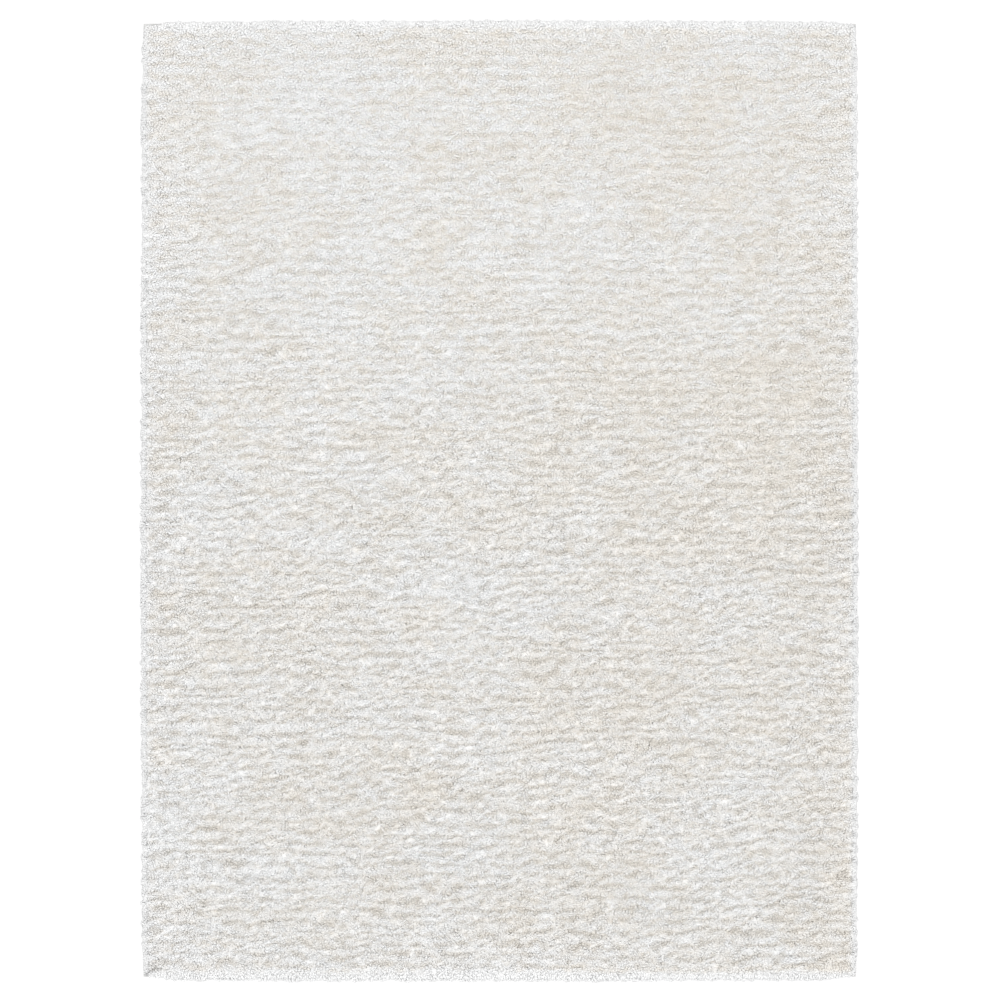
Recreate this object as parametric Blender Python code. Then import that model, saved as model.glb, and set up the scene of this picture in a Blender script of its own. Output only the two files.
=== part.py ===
"""A rectangular shag rug, lying flat.

Two pieces, in metres, with +Z up and the rug's length along Y. The origin is under its middle, at
the level that it lies on.

backing  the flat ground cloth, cut square at its corners, with sides that bow out a little
pile     the outer form of the deep soft pile that stands on it: it bulges past the cloth along the
         four sides, rolls over into a gently uneven crown, and leaves the cloth bare at the corners
"""

import math

import bmesh
import bpy
from mathutils import Vector, noise

COLLECTION_NAME = "shag_rug"

# The ground cloth
WIDTH = 1.600
LENGTH = 2.140
CLOTH_THICKNESS = 0.003
# How far the middle of each side lies out of the straight line between its corners
BOW = {"west": 0.0030, "east": 0.0025, "south": 0.0025, "north": 0.0030}
CLOTH_STEPS_A_SIDE = 16

# The pile
GAP = 0.0003
PILE_HEIGHT = 0.0270
CORNER_RADIUS = 0.030
SHARPEST_CORNER_RADIUS = 0.006
CELLS_ACROSS = 26
CELLS_ALONG = 34
# The roll of its edge, from the cloth up: height as a share of the pile's, and reach past the cloth
ROLL = (
    # height, reach
    (0.00, -0.0040),
    (0.22, 0.0010),
    (0.48, 0.0035),
    (0.72, 0.0015),
    (0.88, -0.0070),
    (0.96, -0.0200),
)
CROWN_HEIGHT = 0.98
CROWN_REACH = -0.045
# Unevenness: how far the edge wanders in and out, and the crown up and down
EDGE_WANDER = 0.0015
EDGE_WANDER_LENGTH = 0.11
CROWN_SWELL = 0.0020
CROWN_SWELL_LENGTH = 0.18

# Colours, linear, with roughness: undyed cotton ground, ivory yarn
CLOTH_COLOUR = (0.46, 0.43, 0.38)
CLOTH_ROUGHNESS = 0.95
YARN_COLOUR = (0.76, 0.74, 0.70)
YARN_ROUGHNESS = 0.90


def clear_scene():
    """Removes every object that the file opened with."""
    for thing in list(bpy.data.objects):
        bpy.data.objects.remove(thing, do_unlink=True)


def new_collection(name):
    """Makes the collection that holds the rug's pieces."""
    collection = bpy.data.collections.new(name)
    bpy.context.scene.collection.children.link(collection)
    return collection


def new_material(name, colour, roughness):
    """Makes a plain, matt material of one colour."""
    material = bpy.data.materials.new(name)
    material.use_nodes = True
    shader = material.node_tree.nodes["Principled BSDF"]
    shader.inputs["Base Color"].default_value = (*colour, 1.0)
    shader.inputs["Roughness"].default_value = roughness
    shader.inputs["Metallic"].default_value = 0.0
    return material


def bow_at(x, y):
    """Returns how far the sides' bow carries a point of the rectangle, along X and along Y."""
    along_x = 1.0 - (2.0 * x / WIDTH) ** 2
    along_y = 1.0 - (2.0 * y / LENGTH) ** 2
    side_x = BOW["east"] if x > 0.0 else -BOW["west"]
    side_y = BOW["north"] if y > 0.0 else -BOW["south"]
    out_x = side_x * abs(2.0 * x / WIDTH) * max(along_y, 0.0)
    out_y = side_y * abs(2.0 * y / LENGTH) * max(along_x, 0.0)
    return out_x, out_y


def cloth_outline():
    """Returns the ground cloth's outline as plan points, anticlockwise from its south-west corner."""
    half_width = 0.5 * WIDTH
    half_length = 0.5 * LENGTH
    corners = (
        Vector((-half_width, -half_length)),
        Vector((half_width, -half_length)),
        Vector((half_width, half_length)),
        Vector((-half_width, half_length)),
    )
    outline = []
    for start, end in zip(corners, corners[1:] + corners[:1]):
        for step in range(CLOTH_STEPS_A_SIDE):
            point = start.lerp(end, step / CLOTH_STEPS_A_SIDE)
            outline.append(point + Vector(bow_at(point.x, point.y)))
    return outline


def make_backing(collection):
    """Makes the ground cloth: its outline as a filled curve, with the cloth's thickness."""
    curve = bpy.data.curves.new("backing", "CURVE")
    curve.dimensions = "2D"
    curve.fill_mode = "BOTH"
    curve.extrude = 0.5 * CLOTH_THICKNESS
    outline = cloth_outline()
    spline = curve.splines.new("POLY")
    spline.points.add(len(outline) - 1)
    for corner, point in zip(spline.points, outline):
        corner.co = (point.x, point.y, 0.0, 1.0)
    spline.use_cyclic_u = True
    curve.materials.append(new_material("ground_cloth", CLOTH_COLOUR, CLOTH_ROUGHNESS))
    backing = bpy.data.objects.new("backing", curve)
    backing.location.z = 0.5 * CLOTH_THICKNESS
    collection.objects.link(backing)
    return backing


def rounded_plan(across, along, reach):
    """Maps a square of -1 to 1 to the rug's plan, grown by reach, with its corners rounded.

    Its lines crowd towards the sides, where the pile rolls over. In the square of each corner they
    are bent so that the square fills a quarter of a disc.
    """
    half_x = 0.5 * WIDTH + reach
    half_y = 0.5 * LENGTH + reach
    radius = max(CORNER_RADIUS + reach, SHARPEST_CORNER_RADIUS)
    x = half_x * math.sin(0.5 * math.pi * across)
    y = half_y * math.sin(0.5 * math.pi * along)
    into_x = (abs(x) - half_x + radius) / radius
    into_y = (abs(y) - half_y + radius) / radius
    if into_x > 0.0 and into_y > 0.0:
        disc_x = into_x * math.sqrt(1.0 - 0.5 * into_y**2)
        disc_y = into_y * math.sqrt(1.0 - 0.5 * into_x**2)
        x = math.copysign(half_x - radius + radius * disc_x, x)
        y = math.copysign(half_y - radius + radius * disc_y, y)
    return x, y


def pile_point(across, along, level):
    """Returns the place of one point of the pile.

    across and along run from -1 to 1. level is the row of ROLL that the point lies on, counted from
    the cloth up, and the crown comes after the last row.
    """
    rolls = level < len(ROLL)
    height, reach = ROLL[level] if rolls else (CROWN_HEIGHT, CROWN_REACH)
    x, y = rounded_plan(across, along, reach)
    if level > 0:
        wander = noise.noise(Vector((x, y, 0.0)) / EDGE_WANDER_LENGTH)
        x, y = rounded_plan(across, along, reach + EDGE_WANDER * wander)
    out_x, out_y = bow_at(x, y)
    z = CLOTH_THICKNESS + GAP + height * PILE_HEIGHT
    if not rolls:
        z += CROWN_SWELL * noise.noise(Vector((x, y, 1.0)) / CROWN_SWELL_LENGTH)
    return Vector((x + out_x, y + out_y, z))


def make_pile(collection):
    """Makes the pile: a grid for its crown, whose border is drawn down row by row to the cloth."""
    bm = bmesh.new()
    bmesh.ops.create_grid(bm, x_segments=CELLS_ACROSS, y_segments=CELLS_ALONG, size=1.0)
    level_of = {vert: len(ROLL) for vert in bm.verts}
    rim = [edge for edge in bm.edges if edge.is_boundary]
    for level in reversed(range(len(ROLL))):
        made = bmesh.ops.extrude_edge_only(bm, edges=rim)["geom"]
        level_of.update({piece: level for piece in made if isinstance(piece, bmesh.types.BMVert)})
        rim = [piece for piece in made if isinstance(piece, bmesh.types.BMEdge) and piece.is_boundary]
    bmesh.ops.contextual_create(bm, geom=rim)
    for vert, level in level_of.items():
        vert.co = pile_point(vert.co.x, vert.co.y, level)
    bmesh.ops.recalc_face_normals(bm, faces=bm.faces)
    mesh = bpy.data.meshes.new("pile")
    bm.to_mesh(mesh)
    bm.free()
    mesh.shade_smooth()
    mesh.materials.append(new_material("ivory_yarn", YARN_COLOUR, YARN_ROUGHNESS))
    pile = bpy.data.objects.new("pile", mesh)
    collection.objects.link(pile)
    return pile


def main():
    clear_scene()
    collection = new_collection(COLLECTION_NAME)
    make_backing(collection)
    make_pile(collection)


main()
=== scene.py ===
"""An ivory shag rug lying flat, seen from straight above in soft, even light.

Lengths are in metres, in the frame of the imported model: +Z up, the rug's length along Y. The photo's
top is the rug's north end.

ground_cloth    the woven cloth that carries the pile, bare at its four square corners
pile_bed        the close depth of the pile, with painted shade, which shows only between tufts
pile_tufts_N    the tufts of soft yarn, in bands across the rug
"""

import bmesh
import bpy
import numpy as np
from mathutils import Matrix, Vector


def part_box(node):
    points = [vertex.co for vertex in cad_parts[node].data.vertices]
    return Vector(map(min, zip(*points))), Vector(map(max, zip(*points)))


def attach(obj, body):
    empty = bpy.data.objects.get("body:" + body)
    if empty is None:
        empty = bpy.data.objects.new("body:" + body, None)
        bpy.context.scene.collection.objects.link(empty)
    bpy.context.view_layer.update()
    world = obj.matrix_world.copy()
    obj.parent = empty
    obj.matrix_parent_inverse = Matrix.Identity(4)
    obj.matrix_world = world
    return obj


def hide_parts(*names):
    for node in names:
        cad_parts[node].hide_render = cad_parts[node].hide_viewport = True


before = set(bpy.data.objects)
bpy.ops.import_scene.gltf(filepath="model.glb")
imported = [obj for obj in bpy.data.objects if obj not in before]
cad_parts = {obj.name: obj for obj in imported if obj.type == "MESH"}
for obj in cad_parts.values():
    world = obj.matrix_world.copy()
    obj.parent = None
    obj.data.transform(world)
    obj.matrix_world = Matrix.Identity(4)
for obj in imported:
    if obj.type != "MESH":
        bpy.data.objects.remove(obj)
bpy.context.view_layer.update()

# The view: the cloth's width in the photograph, in pixels, sets its scale
PICTURE_PIXELS = 1000
CLOTH_PIXELS = 712.5
VIEW_CENTRE = (0.0006, 0.0006)
CAMERA_HEIGHT = 14.0
CAMERA_RANGE = 100.0
SENSOR_MILLIMETRES = 36.0

# The light: an even white sky, a soft lamp beyond the north end, and a floor that stays white
SKY_STRENGTH = 1.325
LAMP_POWER = 4.0
LAMP_SIZE = (3.0, 2.0)
LAMP_PLACE = (-0.3, 2.2, 2.6)
FLOOR_SIZE = 60.0
FLOOR_LEVEL = -0.0006
FLOOR_COLOUR = (0.22, 0.22, 0.22, 1.0)
FLOOR_GLOW = 0.80
WHITE = (1.0, 1.0, 1.0, 1.0)

# The ground cloth, as cut, and how far the middle of each side bows out
WIDTH = 1.600
LENGTH = 2.140
CLOTH_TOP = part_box("backing")[1][2]
BOW_WEST, BOW_EAST = 0.0030, 0.0025
BOW_SOUTH, BOW_NORTH = 0.0025, 0.0030
CLOTH_STEPS_A_SIDE = 32

# Soft noise varies the pile. A layer of it is given as its strength, the size of its cells across and
# along the rug, and its seed. Its lattices start beyond the rug's south-west corner and cover it all.
NOISE_CORNER = (-1.0, -1.3)
NOISE_SPAN = (2.0, 2.6)
NOISE_SPARE_LINES = 3
NOISE_GAIN = 1.5

# The pile's form: its height over the cloth, its rounded corners, the zone in which places have a
# side to lean out to, and the share of the height that it reaches at a distance in from its side
PILE_HEIGHT = 0.0270
CORNER_RADIUS = 0.014
SIDE_ZONE = 0.030
ROLL_INSET = (-0.0035, -0.0015, 0.0070, 0.0200, 0.0450)
ROLL_SHARE = (0.48, 0.72, 0.88, 0.96, 0.98)

# How far its longest tufts hang out past the cloth at each side, and how that varies along the side.
# They are held back to the cloth's edge at the corners, and short of it in a strip at the north-west.
REACH_WEST, REACH_EAST = 0.0030, 0.0017
REACH_SOUTH, REACH_NORTH = 0.0086, 0.0044
REACH_WANDER = (0.0032, 0.009, 0.009, 40)
CORNER_BARE, CORNER_EASE = 0.015, 0.060
STRIP_WIDTH, STRIP_LENGTH, STRIP_EASE = 0.0060, 0.060, 0.040

# Its ripples: soft ridges that run across the rug, with narrow hollows between them. They wander,
# fade in and out, and are broken up into short pieces.
RIPPLE_PITCH = 0.0252
RIPPLE_DEPTH = 0.0036
RIPPLE_STRENGTH = 0.78
RIPPLE_STEEPNESS = 2.2
RIPPLE_FULLNESS = 0.9
RIPPLE_WANDER = (
    (0.0075, 0.160, 0.055, 3),
    (0.0040, 0.045, 0.035, 4),
    (0.0028, 0.015, 0.013, 8),
)
RIPPLE_FADE = (0.18, 0.045, 0.020, 21)
RIPPLE_BREAKS = (1.03, 0.012, 0.0074, 22)
RIPPLE_BREAK_REACH = 0.0042

# A parting runs along the south end. It starts in the south-west corner and rises to the east side.
# Each row is a place across the rug, how far in the parting lies there, and how open it is.
PARTING = np.array((
    (-0.800, 0.000, 1.0),
    (-0.770, 0.022, 0.8),
    (-0.740, 0.020, 0.1),
    (-0.300, 0.030, 0.2),
    (0.100, 0.024, 0.1),
    (0.640, 0.018, 0.3),
    (0.780, 0.063, 0.5),
    (0.800, 0.070, 0.3),
))
PARTING_WANDER = (0.003, 0.060, 1.000, 50)
PARTING_BREAKS = (0.30, 0.025, 1.000, 51)
PARTING_WIDTH, PARTING_DEPTH = 0.0042, 0.0050

# How far the ripples and the tufts' unevenness die away: towards the north end, from a little south
# of the middle, at the two long sides, and wholly in the smooth border of each end
CALM_NORTH, CALM_SHIFT = 0.70, 0.05
CALM_SIDES, SIDE_BORDER = 0.5, 0.022
END_BORDER = 0.038

# The tufts all over the rug. Each is a fat point with three long sides. It lies down on the pile,
# from a root that is deeper in the pile and behind its bend.
SEED = 11
TUFT_PIECES = 5
TUFT_PITCH = 0.00510
TUFT_MARGIN = 0.001
TUFT_SIDES = 3
TUFT_LENGTH = (0.0078, 0.0120)
TUFT_RADIUS = (0.0018, 0.0026)
TUFT_THICKEST = 0.45
TUFT_FLATNESS = 0.6
TUFT_ROOT_BEHIND, TUFT_ROOT_BELOW = 0.0035, 0.0035
TUFT_LIFT = (-0.0023, 0.0005)
TUFT_NOD = 0.0008
TUFT_DROOP = 0.0020
# Its roll, as a middle value that puts a flat side on top and a spread
TUFT_ROLL = (np.pi / 6.0, 0.25)
# It flops to the left or the right, a little to the south too, and out where it is near a side
LEFTWARD_CHANCE = 0.5
FLOP = (0.12, 0.040, 0.020, 1)
TUFT_TURN = 0.90
TUFT_SOUTHWARD = 0.25
LEAN_OUT, LEAN_LOST, LEAN_OUT_INSET = 1.1, 0.7, 0.012
# At the very ends the tufts are larger and flatter, which makes the borders there smooth
END_LONGER, END_FLATTER = 0.4, 0.35
# The tufts' map has a cell for each, with a margin round it
MAP_MARGIN = 0.08

# The tufts that hang out at the sides, in rows at shares of the pile's height. Those of the lower
# rows drop further.
SIDE_PITCH = 0.0036
SIDE_LEVELS = (0.14, 0.28, 0.42, 0.56, 0.66, 0.75, 0.82)
SIDE_UNEVENNESS = 0.001
SIDE_ROOT = 0.004
SIDE_ARCH = 0.001
SIDE_TURN = 0.6
SIDE_REACHES = (0.4, 1.0)
SIDE_CLEARANCE = 0.0030
SIDE_DROPS = (0.005, 0.011)
SIDE_THICKEST, SIDE_THICKER = 0.60, 1.2
LOWEST_OVER_CLOTH = 0.0024

# The bed, which is the body of yarn under the tufts. Its grid lines are closer where the pile rolls
# over, at these distances in from a side.
BED_CELL_ACROSS = 0.0140
BED_CELL_ALONG = 0.0060
BED_ROLL_LINES = (0.0, 0.003, 0.007, 0.0125)
BED_DEPTH, BED_DEPTH_AT_SIDES = 0.0030, 0.0016
BED_OVER_CLOTH = 0.0003
# Its wall stands in from the cloth's edge, and further in at the corners, which leaves the tufts room
# there. It follows the reach of the longest tufts by a share.
BED_INSET, BED_EASE = 0.0020, 0.018
CORNER_ROOM = 0.0035
BED_REACH = 0.2
# The bed's painted shade: deep in the hollows, and lighter by a share on the ridges
BED_SHADE, BED_LIGHTER = 0.90, 0.65
BED_PALENESS = 0.5

# How much painted shade darkens the yarn's colour: in the hollows, and in the calm parts and the rim
# of the pile, where the painted shade of the hollows is partly lost
HOLLOW_SHADE, DEEPEST_SHADE = 0.57, 0.90
CALM_SHADE, RIM_SHADE, HOLLOW_LOST = 0.30, 0.45, 0.5
RIM_INSET, RIM_EASE = 0.004, 0.016
# Painted shade near the ends, painted light at the south end's edge, and painted shade in the corners
# and in the parting
END_SHADE, END_SHADE_WIDTH = 0.35, 0.044
SOUTH_LIGHTER, SOUTH_LIGHTER_WIDTH = 0.30, 0.008
CORNER_SHADE, CORNER_SHADE_SIZE = 0.35, 0.020
PARTING_SHADE = 1.5

# How warm it is: all over, in the hollows, where the warmth is painted warm shade, towards the east,
# round a spot near the middle of the east side, and less so in the north. Soft blotches and each
# tuft's own tone vary it.
WARMTH = 0.20
WARM_HOLLOW_SHADE = 0.70
WARM_EASTWARD = 0.24
WARM_SPOT = (0.62, 0.15)
WARM_SPOT_STRENGTH, WARM_SPOT_SIZE = 0.20, 0.35
COOL_NORTH = 0.13
WARM_BLOTCHES = (
    (0.14, 0.024, 0.015, 30),
    (0.12, 0.050, 0.034, 31),
    (0.11, 0.120, 0.080, 32),
    (0.10, 0.300, 0.220, 33),
)
WARMTH_BY_TUFT = 0.02

# The yarn's look: its colour where it is cool and warm, the grey of painted shade that darkens it at
# each depth of painted shade, and the factor for its least and most pale tufts. A high power leaves
# few tufts dark.
YARN_COOL = (0.953, 0.955, 0.957, 1.0)
YARN_WARM = (0.917, 0.874, 0.810, 1.0)
YARN_SHADES = ((0.05, 1.00), (0.60, 0.92), (0.90, 0.80), (1.00, 0.55))
YARN_PALENESS = (0.95, 1.0)
PALENESS_POWER = 3
# Its grain, as a scale and a detail, and the part of the grain's range that is used. Its dark specks
# are fibre tone and painted shade between the fibres. The factor for its darkest specks and the
# strength of its bump are given for uneven pile and for calm pile.
YARN_GRAIN = (300.0, 2.0)
YARN_GRAIN_RANGE = (0.36, 0.56)
YARN_GRAIN_AND_SHADE_DARKEST = (0.94, 0.98)
YARN_BUMP_DEPTH = 0.003
YARN_BUMP_STRENGTH = (0.75, 0.2)
YARN_ROUGHNESS = 0.9

# The cloth's look: the pitch and unevenness of its threads, and its grain and the colours of it
THREAD_PITCH = 0.0022
THREAD_UNEVENNESS = 0.6
CLOTH_GRAIN = (160.0, 4.0)
CLOTH_SHADES = ((0.35, (0.68, 0.68, 0.67)), (0.65, (0.80, 0.80, 0.79)))
CLOTH_BUMP_DEPTH = 0.0006
CLOTH_ROUGHNESS = 0.95
FIBRE_SPECULAR = 0.2

# Blender's wave texture turns by this angle a metre at a scale of 1
WAVE_RADIANS_A_METRE = 20.0
# The range of values that are shares
SHARES = (0.0, 1.0)
# A length too small to see, which keeps vectors of no length from being divided by nothing
TINY = 1e-9


def smoothstep(value):
    """Eases a value between 0 and 1 in and out."""
    value = np.clip(value, 0.0, 1.0)
    return value * value * (3.0 - 2.0 * value)


def soft_noise(x, y, across, along, seed):
    """Soft noise, mostly from -1 to 1, on a lattice whose cells are across wide and along high."""
    lines = [int(NOISE_SPAN[1] / along), int(NOISE_SPAN[0] / across)]
    shape = [count + NOISE_SPARE_LINES for count in lines]
    lattice = np.random.default_rng(seed).uniform(-1.0, 1.0, shape)
    u = (x - NOISE_CORNER[0]) / across
    v = (y - NOISE_CORNER[1]) / along
    column = np.floor(u).astype(int)
    row = np.floor(v).astype(int)
    s = smoothstep(u - column)
    t = smoothstep(v - row)
    low = lattice[row, column] * (1.0 - s) + lattice[row, column + 1] * s
    high = lattice[row + 1, column] * (1.0 - s) + lattice[row + 1, column + 1] * s
    return NOISE_GAIN * (low * (1.0 - t) + high * t)


def noise_sum(x, y, layers):
    """Several layers of soft noise, each given as its strength and its lattice."""
    return sum(strength * soft_noise(x, y, *lattice) for strength, *lattice in layers)


def inset_at(x, y):
    """How far in from the side of the pile's rounded plan a point lies. It is negative outside."""
    over_x = np.abs(x) - 0.5 * WIDTH + CORNER_RADIUS
    over_y = np.abs(y) - 0.5 * LENGTH + CORNER_RADIUS
    beyond = np.hypot(np.maximum(over_x, 0.0), np.maximum(over_y, 0.0))
    return CORNER_RADIUS - beyond - np.minimum(np.maximum(over_x, over_y), 0.0)


def outward_at(x, y):
    """The direction, in plan, from each point to the side. It is nothing far in from all of them."""
    over_x = np.maximum(np.abs(x) - 0.5 * WIDTH + SIDE_ZONE, 0.0)
    over_y = np.maximum(np.abs(y) - 0.5 * LENGTH + SIDE_ZONE, 0.0)
    size = np.maximum(np.hypot(over_x, over_y), TINY)
    return np.sign(x) * over_x / size, np.sign(y) * over_y / size


def moved_in(x, y, inset):
    """Moves points that lie less than inset in from the side straight in to it."""
    out_x, out_y = outward_at(x, y)
    short = np.maximum(inset - inset_at(x, y), 0.0)
    return x - out_x * short, y - out_y * short


def bowed(points):
    """Moves points of the straight-sided plan out with the bow of the sides."""
    x, y = points[:, 0].copy(), points[:, 1].copy()
    part_x = np.abs(2.0 * x / WIDTH)
    part_y = np.abs(2.0 * y / LENGTH)
    bow_x = np.where(x > 0.0, BOW_EAST, -BOW_WEST)
    bow_y = np.where(y > 0.0, BOW_NORTH, -BOW_SOUTH)
    points[:, 0] += bow_x * part_x * np.maximum(1.0 - part_y**2, 0.0)
    points[:, 1] += bow_y * part_y * np.maximum(1.0 - part_x**2, 0.0)
    return points


def from_corner(x, y):
    """How far a place is from the cloth's nearest corner."""
    return np.hypot(0.5 * WIDTH - np.abs(x), 0.5 * LENGTH - np.abs(y))


def free_at(x, y):
    """How far the pile is free to hang out at a place, from 0 at a corner to 1 well away from it."""
    return smoothstep((from_corner(x, y) - CORNER_BARE) / CORNER_EASE)


def reach_at(x, y):
    """How far the pile may hang out past the cloth, or, where it is negative, ends short of it."""
    out_x, out_y = outward_at(x, y)
    side = np.abs(out_x) * np.where(x > 0.0, REACH_EAST, REACH_WEST)
    side += np.abs(out_y) * np.where(y > 0.0, REACH_NORTH, REACH_SOUTH)
    side += noise_sum(x, y, (REACH_WANDER,))
    strip = np.maximum(out_y, 0.0) * smoothstep((STRIP_LENGTH - x - 0.5 * WIDTH) / STRIP_EASE)
    return np.maximum(side, 0.0) * free_at(x, y) - STRIP_WIDTH * strip


def held_back(points):
    """Moves points that lie further out than the pile reaches back in."""
    x, y = points[:, 0], points[:, 1]
    points[:, 0], points[:, 1] = moved_in(x, y, -reach_at(x, y))
    return points


def border_at(y, width=END_BORDER):
    """How far a place lies in a border along each end, from 0 on its inner line to 1 at the end."""
    return smoothstep(1.0 - (0.5 * LENGTH - np.abs(y)) / width)


def rim_at(x, y):
    """How far a point lies in the rim that runs round the pile, from 0 to 1."""
    return 1.0 - smoothstep((inset_at(x, y) - RIM_INSET) / RIM_EASE)


def calm_at(x, y):
    """How far the pile's unevenness dies away at a place, from 0 to 1."""
    north = CALM_NORTH * np.clip(2.0 * y / LENGTH + CALM_SHIFT, 0.0, 1.0)
    side = CALM_SIDES * smoothstep(1.0 - (0.5 * WIDTH - np.abs(x)) / SIDE_BORDER)
    return np.maximum(np.maximum(north, side), border_at(y))


def parting_at(x, y):
    """How open the parting in the pile is at a place, from 0 to 1."""
    inset = np.interp(x, PARTING[:, 0], PARTING[:, 1]) + noise_sum(x, y, (PARTING_WANDER,))
    share = np.interp(x, PARTING[:, 0], PARTING[:, 2]) * (1.0 + noise_sum(x, y, (PARTING_BREAKS,)))
    off = (y + 0.5 * LENGTH - inset) / PARTING_WIDTH
    return np.clip(share, 0.0, 1.0) * np.exp(-(off**2))


def ripple_at(x, y):
    """How high the pile stands in its ripples, from 0 in a hollow to 1 on a ridge."""
    line = y + noise_sum(x, y, RIPPLE_WANDER)
    strength = RIPPLE_STRENGTH * (1.0 + noise_sum(x, line, (RIPPLE_FADE,)))
    wave = strength * np.cos(2.0 * np.pi * line / RIPPLE_PITCH)
    # The difference of noise at two places along Y has no slow swings: it is short ridges and hollows
    wave += noise_sum(x, line + RIPPLE_BREAK_REACH, (RIPPLE_BREAKS,))
    wave -= noise_sum(x, line - RIPPLE_BREAK_REACH, (RIPPLE_BREAKS,))
    ridge = 1.0 / (1.0 + np.exp(-RIPPLE_STEEPNESS * wave - RIPPLE_FULLNESS))
    return ridge * (1.0 - parting_at(x, y))


def crown_at(x, y):
    """The height of the ridges' tops, which falls as the pile rolls over at its sides."""
    return CLOTH_TOP + PILE_HEIGHT * np.interp(inset_at(x, y), ROLL_INSET, ROLL_SHARE)


def surface_at(x, y):
    """The height of the pile, with its ripples."""
    hollow = RIPPLE_DEPTH * (1.0 - calm_at(x, y)) * (1.0 - ripple_at(x, y))
    return crown_at(x, y) - hollow - PARTING_DEPTH * parting_at(x, y)


def warmth_at(x, y):
    """How warm the yarn is, in soft blotches, by its place on the rug, and with painted warm shade in
    the hollows. The rim isn't warm.
    """
    north = np.clip(2.0 * y / LENGTH, 0.0, 1.0)
    spot = np.exp(-np.hypot(x - WARM_SPOT[0], y - WARM_SPOT[1]) / WARM_SPOT_SIZE)
    broad = WARMTH + WARM_EASTWARD * x / WIDTH + WARM_SPOT_STRENGTH * spot - COOL_NORTH * north
    # Painted warm shade in the hollows
    hollow = WARM_HOLLOW_SHADE * (1.0 - ripple_at(x, y))
    return (broad + hollow + noise_sum(x, y, WARM_BLOTCHES)) * (1.0 - rim_at(x, y))


def painted_shade_at(x, y, hollow):
    """How much painted shade darkens the yarn, from the painted shade that it has in a hollow at the
    place.
    """
    # Painted shade where the pile is calm and at its rim, which are lit more brightly, with less of
    # the hollows' painted shade
    calmed = calm_at(x, y) * (CALM_SHADE - HOLLOW_LOST * hollow)
    rimmed = rim_at(x, y) * (RIM_SHADE - HOLLOW_LOST * hollow)
    shade = hollow + calmed + rimmed
    # Painted shade near the ends
    shade += (END_SHADE - shade) * border_at(y, END_SHADE_WIDTH)
    # Painted light at the south end's edge, which faces away from the north lamp
    shade -= np.where(y < 0.0, SOUTH_LIGHTER * border_at(y, SOUTH_LIGHTER_WIDTH), 0.0)
    # Painted shade in the corners
    shade += CORNER_SHADE * np.exp(-((from_corner(x, y) / CORNER_SHADE_SIZE) ** 2))
    # Painted shadow in the parting, darkest where it is fully open
    return np.maximum(np.minimum(shade, DEEPEST_SHADE), PARTING_SHADE * parting_at(x, y))


def added(name, data):
    """Adds an object to the scene."""
    thing = bpy.data.objects.new(name, data)
    bpy.context.scene.collection.objects.link(thing)
    return thing


def dressed(piece, look, node):
    """Gives a piece its material, its place in the frame, and the node that it stands in for."""
    piece.data.materials.append(look)
    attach(piece, "root")
    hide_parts(node)
    return piece


def note(mesh, marks):
    """Stores values at a mesh's points, for its material to read."""
    for name, values in marks.items():
        layer = mesh.attributes.new(name, "FLOAT", "POINT")
        layer.data.foreach_set("value", np.asarray(values, dtype=np.float32).ravel())


def field_spots(rng):
    """The plan places of the tufts: one in each cell of a grid, off its middle by chance."""
    columns = int(WIDTH / TUFT_PITCH)
    rows = int(LENGTH / TUFT_PITCH)
    across = (np.arange(columns) + 0.5) / columns - 0.5
    along = (np.arange(rows) + 0.5) / rows - 0.5
    x, y = np.meshgrid(across * WIDTH, along * LENGTH)
    x = x.ravel() + rng.uniform(-0.5, 0.5, x.size) * TUFT_PITCH
    y = y.ravel() + rng.uniform(-0.5, 0.5, y.size) * TUFT_PITCH
    kept = inset_at(x, y) > np.maximum(-reach_at(x, y), 0.0) + TUFT_MARGIN
    return x[kept], y[kept]


def field_lean(x, y, rng):
    """The direction, in plan, that the tuft at each place lies in."""
    leftward = rng.random(x.size) < LEFTWARD_CHANCE + noise_sum(x, y, (FLOP,))
    turn = rng.normal(0.0, TUFT_TURN, x.size)
    lean_x = np.where(leftward, -1.0, 1.0) * np.cos(turn)
    lean_y = np.sin(turn) - TUFT_SOUTHWARD
    out_x, out_y = outward_at(x, y)
    out = np.exp(-inset_at(x, y) / LEAN_OUT_INSET)
    lean_x = lean_x * (1.0 - LEAN_LOST * out) + LEAN_OUT * out * out_x
    lean_y = lean_y * (1.0 - LEAN_LOST * out) + LEAN_OUT * out * out_y
    size = np.hypot(lean_x, lean_y)
    return np.stack([lean_x / size, lean_y / size], 1)


def field_tufts(rng):
    """The tufts all over the rug: the root, bend and end of each, its radius and thickest place."""
    x, y = field_spots(rng)
    n = x.size
    lean = field_lean(x, y, rng)
    longer = 1.0 + END_LONGER * border_at(y)
    half = 0.5 * (rng.uniform(*TUFT_LENGTH, n) * longer)[:, None]
    middle = np.stack([x, y], 1)
    bend, end = middle - half * lean, middle + half * lean
    root = bend - TUFT_ROOT_BEHIND * lean
    lift = rng.uniform(*TUFT_LIFT, n) * (1.0 - calm_at(x, y))
    bend_z = surface_at(*bend.T) + lift - TUFT_NOD
    end_z = np.maximum(surface_at(*end.T), surface_at(x, y) - TUFT_DROOP) + lift
    parts = ((root, bend_z - TUFT_ROOT_BELOW), (bend, bend_z), (end, end_z))
    radius = rng.uniform(*TUFT_RADIUS, n) * longer
    return *(np.column_stack(part) for part in parts), radius, np.full(n, TUFT_THICKEST)


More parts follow.
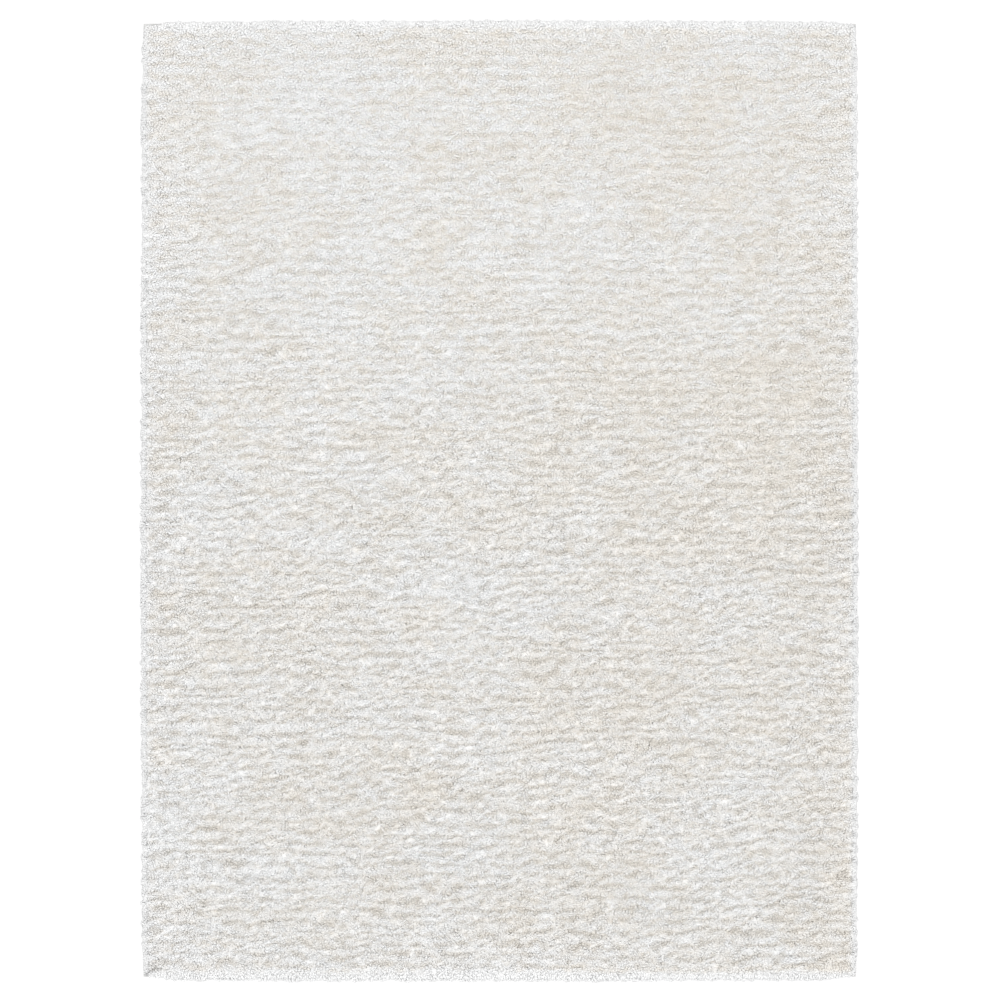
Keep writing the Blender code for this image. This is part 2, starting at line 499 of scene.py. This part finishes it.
def outline_spots(rng):
    """Places along the straight sides of the rug, a step apart and off by chance."""
    half_x, half_y = 0.5 * WIDTH, 0.5 * LENGTH
    across = np.arange(-half_x, half_x, SIDE_PITCH)
    along = np.arange(-half_y, half_y, SIDE_PITCH)
    x = np.concatenate([across, across, np.full(along.size, half_x), np.full(along.size, -half_x)])
    y = np.concatenate([np.full(across.size, half_y), np.full(across.size, -half_y), along, along])
    x = x + rng.uniform(-0.5, 0.5, x.size) * SIDE_PITCH
    y = y + rng.uniform(-0.5, 0.5, y.size) * SIDE_PITCH
    return x, y


def bed_inset_at(x, y):
    """How far in from the cloth's edge the wall of the bed stands."""
    reach = reach_at(x, y)
    return BED_INSET + CORNER_ROOM * (1.0 - free_at(x, y)) - np.minimum(reach, BED_REACH * reach)


def side_row(share, rng):
    """The root, bend and end of the tufts that hang out at a share of the pile's height."""
    x, y = outline_spots(rng)
    n = x.size
    out_x, out_y = outward_at(x, y)
    length = np.maximum(reach_at(x, y), 0.0) * rng.uniform(*SIDE_REACHES, n)
    length += SIDE_CLEARANCE + CORNER_ROOM * (1.0 - free_at(x, y))
    # The wall is upright up to where the roll starts, and above that it moves in with the roll
    rolled = np.interp(share, ROLL_SHARE, ROLL_INSET) - ROLL_INSET[0]
    x, y = moved_in(x, y, bed_inset_at(x, y) + rolled)
    turn = rng.normal(0.0, SIDE_TURN, n)
    lean_x = out_x * np.cos(turn) - out_y * np.sin(turn)
    lean_y = out_x * np.sin(turn) + out_y * np.cos(turn)
    z = CLOTH_TOP + share * PILE_HEIGHT + rng.normal(0.0, SIDE_UNEVENNESS, n)
    root = np.stack([x - SIDE_ROOT * out_x, y - SIDE_ROOT * out_y, z], 1)
    bend = np.stack([x, y, z + SIDE_ARCH], 1)
    low = z - rng.uniform(*SIDE_DROPS, n) * (1.0 - share)
    end = np.stack([x + length * lean_x, y + length * lean_y, low], 1)
    return root, bend, end


def side_tufts(rng):
    """The tufts that hang down over the wall of the bed, given as field_tufts gives its own."""
    rows = [side_row(share, rng) for share in SIDE_LEVELS]
    root, bend, end = (np.concatenate(parts) for parts in zip(*rows))
    for points in (root, bend, end):
        points[:, 2] = np.maximum(points[:, 2], CLOTH_TOP + LOWEST_OVER_CLOTH)
    n = len(root)
    return root, bend, end, SIDE_THICKER * rng.uniform(*TUFT_RADIUS, n), np.full(n, SIDE_THICKEST)


def unit(vectors):
    """Vectors of length 1 in the same directions."""
    return vectors / np.maximum(np.linalg.norm(vectors, axis=1, keepdims=True), TINY)


def tuft_points(root, bend, end, radius, thickest, rng):
    """The points of each tuft: its root, those round its thickest place, and its tip."""
    lying = unit(end - bend)
    beside = unit(np.cross(lying, (0.0, 0.0, 1.0)))
    above = np.cross(beside, lying)
    middle = bend + thickest[:, None] * (end - bend)
    roll = rng.normal(*TUFT_ROLL, len(root))
    flatness = TUFT_FLATNESS * (1.0 - END_FLATTER * border_at(middle[:, 1:2]))
    points = [root]
    for side in range(TUFT_SIDES):
        turn = (roll + 2.0 * np.pi * side / TUFT_SIDES)[:, None]
        offset = beside * np.cos(turn) + flatness * above * np.sin(turn)
        points.append(middle + radius[:, None] * offset)
    return np.stack([*points, end], 1)


def tuft_pattern():
    """The corners of one tuft's triangles, in order: the point, and its place in the tuft's cell.

    A cell of the map runs from the root at 0, past the thickest place half way, to the tip at 1.
    """
    faces = []
    for side in range(TUFT_SIDES):
        left, right = side / TUFT_SIDES, (side + 1) / TUFT_SIDES
        middle = 0.5 * (left + right)
        near = (1 + side, left, 0.5)
        far = (1 + (side + 1) % TUFT_SIDES, right, 0.5)
        faces.append(((0, middle, 0.0), far, near))
        faces.append((near, far, (TUFT_SIDES + 1, middle, 1.0)))
    return np.array(faces).reshape(-1, 3)


def lay_map(mesh, n, places):
    """Gives each of n tufts a cell of its own in a map named OFBake."""
    columns = int(np.ceil(np.sqrt(n)))
    cell = np.stack([np.arange(n) % columns, np.arange(n) // columns], 1)
    spots = (cell[:, None] + MAP_MARGIN + (1.0 - 2.0 * MAP_MARGIN) * places) / columns
    mesh.uv_layers.new(name="OFBake").uv.foreach_set("vector", spots.astype(np.float32).ravel())


def tuft_mesh(name, points):
    """Makes one mesh of many tufts, from the points of each."""
    n, points_a_tuft = points.shape[:2]
    pattern = tuft_pattern()
    corners = pattern[:, 0].astype(np.int32) + points_a_tuft * np.arange(n, dtype=np.int32)[:, None]
    mesh = bpy.data.meshes.new(name)
    mesh.vertices.add(n * points_a_tuft)
    mesh.vertices.foreach_set("co", points.ravel())
    mesh.loops.add(corners.size)
    mesh.loops.foreach_set("vertex_index", corners.ravel())
    mesh.polygons.add(corners.size // 3)
    mesh.polygons.foreach_set("loop_start", np.arange(0, corners.size, 3, dtype=np.int32))
    mesh.update(calc_edges=True)
    mesh.shade_smooth()
    lay_map(mesh, n, pattern[:, 1:])
    return mesh


def tuft_marks(points, rng):
    """How much painted shade darkens each tuft, how warm, how pale and how calm it is, at each of its
    points.
    """
    x, y = points[:, 1:].mean(1)[:, :2].T
    calm = calm_at(x, y)
    # Painted shade, deepest in the ripples' hollows
    hollow = HOLLOW_SHADE * (1.0 - ripple_at(x, y))
    marks = {
        "pile_painted_shade": painted_shade_at(x, y, hollow),
        "pile_warmth": warmth_at(x, y) + rng.normal(0.0, WARMTH_BY_TUFT, x.size),
        "pile_paleness": 1.0 - rng.random(x.size) ** PALENESS_POWER * (1.0 - calm),
        "pile_calm": calm,
    }
    return {name: np.repeat(values[:, None], points.shape[1], 1) for name, values in marks.items()}


def make_tufts(yarn):
    """Makes all the tufts, as several pieces from south to north."""
    rng = np.random.default_rng(SEED)
    kinds = (field_tufts(rng), side_tufts(rng))
    points = tuft_points(*(np.concatenate(parts) for parts in zip(*kinds)), rng)
    points = bowed(held_back(points.reshape(-1, 3))).reshape(points.shape)
    order = np.argsort(points[:, 0, 1], kind="stable")
    marks = tuft_marks(points, rng)
    pieces = []
    for number, chosen in enumerate(np.array_split(order, TUFT_PIECES)):
        name = f"pile_tufts_{number + 1}"
        mesh = tuft_mesh(name, points[chosen])
        note(mesh, {mark: values[chosen] for mark, values in marks.items()})
        pieces.append(dressed(added(name, mesh), yarn, "pile"))
    return pieces


def bed_lines(size, cell):
    """The places of the bed's grid lines: a cell apart, and closer where the pile rolls over."""
    roll = np.array(BED_ROLL_LINES)
    inner = 0.5 * size - roll[-1]
    middle = np.linspace(-inner, inner, int(2.0 * inner / cell) + 1)
    return np.concatenate([roll[:-1] - 0.5 * size, middle, 0.5 * size - roll[-2::-1]])


def bed_mesh(columns, rows):
    """Makes a closed mesh with a grid on top, in a unit square, and says which points are its foot."""
    bm = bmesh.new()
    bmesh.ops.create_grid(bm, x_segments=len(columns) - 1, y_segments=len(rows) - 1, size=0.5)
    rim = [edge for edge in bm.edges if edge.is_boundary]
    made = bmesh.ops.extrude_edge_only(bm, edges=rim)["geom"]
    foot = {piece for piece in made if isinstance(piece, bmesh.types.BMVert)}
    rim = [piece for piece in made if isinstance(piece, bmesh.types.BMEdge) and piece.is_boundary]
    bmesh.ops.contextual_create(bm, geom=rim)
    bmesh.ops.recalc_face_normals(bm, faces=bm.faces)
    is_foot = np.array([vert in foot for vert in bm.verts])
    mesh = bpy.data.meshes.new("pile_bed")
    bm.to_mesh(mesh)
    bm.free()
    return mesh, is_foot


def bed_spots(mesh, columns, rows):
    """The plan places of the bed's points: on its grid lines, and drawn in at the sides."""
    places = np.empty(3 * len(mesh.vertices))
    mesh.vertices.foreach_get("co", places)
    places = places.reshape(-1, 3)
    x = np.interp(places[:, 0] + 0.5, np.linspace(0.0, 1.0, len(columns)), columns)
    y = np.interp(places[:, 1] + 0.5, np.linspace(0.0, 1.0, len(rows)), rows)
    x, y = moved_in(x, y, 0.0)
    out_x, out_y = outward_at(x, y)
    shift = bed_inset_at(x, y) * np.clip(1.0 - inset_at(x, y) / BED_EASE, 0.0, 1.0)
    return x - out_x * shift, y - out_y * shift


def make_bed(yarn):
    """Makes the closed body of yarn that fills the pile under the tufts, coloured with painted shade.
    """
    columns = bed_lines(WIDTH, BED_CELL_ACROSS)
    rows = bed_lines(LENGTH, BED_CELL_ALONG)
    mesh, is_foot = bed_mesh(columns, rows)
    x, y = bed_spots(mesh, columns, rows)
    near_side = np.maximum(border_at(y), rim_at(x, y))
    depth = BED_DEPTH + (BED_DEPTH_AT_SIDES - BED_DEPTH) * near_side
    z = np.where(is_foot, CLOTH_TOP + BED_OVER_CLOTH, surface_at(x, y) - depth)
    # Painted shade for the bed: darker in the hollows, lighter on the ridges, with the pile's other
    # painted shade
    note(mesh, {
        "pile_painted_shade": painted_shade_at(x, y, BED_SHADE * (1.0 - BED_LIGHTER * ripple_at(x, y))),
        "pile_warmth": warmth_at(x, y),
        "pile_paleness": np.full(len(x), BED_PALENESS),
        "pile_calm": calm_at(x, y),
    })
    mesh.vertices.foreach_set("co", bowed(np.stack([x, y, z], 1)).ravel())
    mesh.shade_smooth()
    return dressed(added("pile_bed", mesh), yarn, "pile")


def make_cloth(look):
    """Makes the ground cloth from its outline, as a closed sheet."""
    step = np.arange(CLOTH_STEPS_A_SIDE) / CLOTH_STEPS_A_SIDE
    half_x, half_y = 0.5 * WIDTH, 0.5 * LENGTH
    plan = np.array([(-half_x, -half_y), (half_x, -half_y), (half_x, half_y), (-half_x, half_y)])
    ends = np.roll(plan, -1, axis=0)
    sides = [start + (end - start) * step[:, None] for start, end in zip(plan, ends)]
    outline = bowed(np.concatenate(sides))
    n = len(outline)
    points = [(x, y, z) for z in (0.0, CLOTH_TOP) for x, y in outline]
    faces = [tuple(range(n))[::-1], tuple(range(n, 2 * n))]
    faces += [(i, (i + 1) % n, n + (i + 1) % n, n + i) for i in range(n)]
    mesh = bpy.data.meshes.new("ground_cloth")
    mesh.from_pydata(points, [], faces)
    cloth = dressed(added("ground_cloth", mesh), look, "backing")
    return cloth


def new_material(name, roughness, specular):
    """Makes a material, and returns it with its tree of nodes and its shader."""
    material = bpy.data.materials.new(name)
    material.use_nodes = True
    tree = material.node_tree
    shader = tree.nodes["Principled BSDF"]
    feed(tree, shader, {"Roughness": roughness, "Specular IOR Level": specular})
    return material, tree, shader


def feed(tree, node, inputs):
    """Sets each of the inputs of a node to its value, or links it to another node's output."""
    for name, value in inputs.items():
        if isinstance(value, bpy.types.NodeSocket):
            tree.links.new(value, node.inputs[name])
        else:
            node.inputs[name].default_value = value


def mark_of(tree, name):
    """Reads a value that is stored at a mesh's points."""
    node = tree.nodes.new("ShaderNodeAttribute")
    node.attribute_name = name
    return node.outputs["Fac"]


def grain_of(tree, scale, detail):
    """Adds noise of a scale, a metre across, that is fixed to the piece."""
    place = tree.nodes.new("ShaderNodeTexCoord")
    node = tree.nodes.new("ShaderNodeTexNoise")
    feed(tree, node, {"Vector": place.outputs["Object"], "Scale": scale, "Detail": detail})
    return node.outputs["Fac"]


def ramp_of(tree, value, stops):
    """Turns a value into a colour, by stops that are each a value and its colour."""
    node = tree.nodes.new("ShaderNodeValToRGB")
    ramp = node.color_ramp.elements
    for position, colour in stops[1:-1]:
        ramp.new(position)
    for element, (position, colour) in zip(ramp, stops):
        element.position = position
        element.color = (*colour, 1.0)
    feed(tree, node, {"Fac": value})
    return node.outputs["Color"]


def mixed(tree, blend, factor, first, second):
    """Mixes two colours."""
    node = tree.nodes.new("ShaderNodeMix")
    node.data_type = "RGBA"
    node.blend_type = blend
    feed(tree, node, {"Factor": factor, "A": first, "B": second})
    return node.outputs["Result"]


def spread(tree, value, old, new):
    """Maps a value from one range to another."""
    node = tree.nodes.new("ShaderNodeMapRange")
    limits = dict(zip(("From Min", "From Max", "To Min", "To Max"), (*old, *new)))
    feed(tree, node, {"Value": value, **limits})
    return node.outputs["Result"]


def scaled(tree, colour, factor):
    """Multiplies a colour by a factor."""
    node = tree.nodes.new("ShaderNodeVectorMath")
    node.operation = "SCALE"
    feed(tree, node, {"Vector": colour, "Scale": factor})
    return node.outputs["Vector"]


def roughened(tree, shader, height, depth, strength):
    """Bumps a shader's surface by a height."""
    node = tree.nodes.new("ShaderNodeBump")
    feed(tree, node, {"Height": height, "Distance": depth, "Strength": strength})
    feed(tree, shader, {"Normal": node.outputs["Normal"]})


def yarn_material():
    """Soft ivory yarn: white on the ridges, and between them darker and warmer with painted shade."""
    material, tree, shader = new_material("ivory_yarn_look", YARN_ROUGHNESS, FIBRE_SPECULAR)
    calm = mark_of(tree, "pile_calm")
    tone = mixed(tree, "MIX", mark_of(tree, "pile_warmth"), YARN_COOL, YARN_WARM)
    greys = [(depth, (grey, grey, grey)) for depth, grey in YARN_SHADES]
    # The ramp darkens the yarn's colour by its painted shade
    shaded = mixed(tree, "MULTIPLY", 1.0, tone, ramp_of(tree, mark_of(tree, "pile_painted_shade"), greys))
    pale = scaled(tree, shaded, spread(tree, mark_of(tree, "pile_paleness"), SHARES, YARN_PALENESS))
    grain = grain_of(tree, *YARN_GRAIN)
    # The grain's dark specks: fibre tone and painted shade between the fibres
    darkest = spread(tree, calm, SHARES, YARN_GRAIN_AND_SHADE_DARKEST)
    grained = scaled(tree, pale, spread(tree, grain, YARN_GRAIN_RANGE, (darkest, 1.0)))
    feed(tree, shader, {"Base Color": grained})
    roughened(tree, shader, grain, YARN_BUMP_DEPTH, spread(tree, calm, SHARES, YARN_BUMP_STRENGTH))
    return material


def cloth_material():
    """Undyed cotton in a plain weave: two crossed sets of threads, a little uneven in tone."""
    material, tree, shader = new_material("ground_cloth_look", CLOTH_ROUGHNESS, FIBRE_SPECULAR)
    place = tree.nodes.new("ShaderNodeTexCoord").outputs["Object"]
    scale = 2.0 * np.pi / (WAVE_RADIANS_A_METRE * THREAD_PITCH)
    weave = tree.nodes.new("ShaderNodeMath")
    weave.operation = "MAXIMUM"
    for direction, socket in zip("XY", weave.inputs):
        threads = tree.nodes.new("ShaderNodeTexWave")
        threads.bands_direction = direction
        feed(tree, threads, {"Vector": place, "Scale": scale, "Distortion": THREAD_UNEVENNESS})
        tree.links.new(threads.outputs["Fac"], socket)
    colour = ramp_of(tree, grain_of(tree, *CLOTH_GRAIN), CLOTH_SHADES)
    feed(tree, shader, {"Base Color": colour})
    roughened(tree, shader, weave.outputs["Value"], CLOTH_BUMP_DEPTH, strength=1.0)
    return material


def make_camera():
    """Makes a long lens straight above the rug, scaled by the cloth's width in the picture."""
    data = bpy.data.cameras.new("camera")
    camera = added("camera", data)
    seen_width = WIDTH * PICTURE_PIXELS / CLOTH_PIXELS
    data.sensor_width = SENSOR_MILLIMETRES
    data.lens = SENSOR_MILLIMETRES * (CAMERA_HEIGHT - CLOTH_TOP) / seen_width
    data.clip_end = CAMERA_RANGE
    camera.location = (*VIEW_CENTRE, CAMERA_HEIGHT)
    bpy.context.scene.camera = camera


def make_floor():
    """Makes the pale, plain floor, just under the rug."""
    bpy.ops.mesh.primitive_plane_add(size=FLOOR_SIZE, location=(0.0, 0.0, FLOOR_LEVEL))
    floor = bpy.context.object
    floor.name = "floor"
    material, tree, shader = new_material("floor", roughness=1.0, specular=0.0)
    glow = {"Emission Color": WHITE, "Emission Strength": FLOOR_GLOW}
    feed(tree, shader, {"Base Color": FLOOR_COLOUR, **glow})
    floor.data.materials.append(material)


def make_lights():
    """Makes the even sky and the soft lamp."""
    world = bpy.data.worlds.new("studio")
    world.use_nodes = True
    sky = world.node_tree.nodes["Background"]
    feed(world.node_tree, sky, {"Color": WHITE, "Strength": SKY_STRENGTH})
    bpy.context.scene.world = world
    data = bpy.data.lights.new("north_lamp", "AREA")
    data.shape = "RECTANGLE"
    data.size, data.size_y = LAMP_SIZE
    data.energy = LAMP_POWER
    lamp = added("north_lamp", data)
    lamp.location = LAMP_PLACE
    lamp.rotation_euler = (-lamp.location).to_track_quat("-Z", "Y").to_euler()
    lamp.visible_camera = False


def main():
    """Makes the scene."""
    bpy.context.scene.view_settings.view_transform = "Standard"
    make_camera()
    make_floor()
    make_lights()
    yarn = yarn_material()
    pile = make_tufts(yarn)
    pile.append(make_bed(yarn))
    make_cloth(cloth_material())


main()
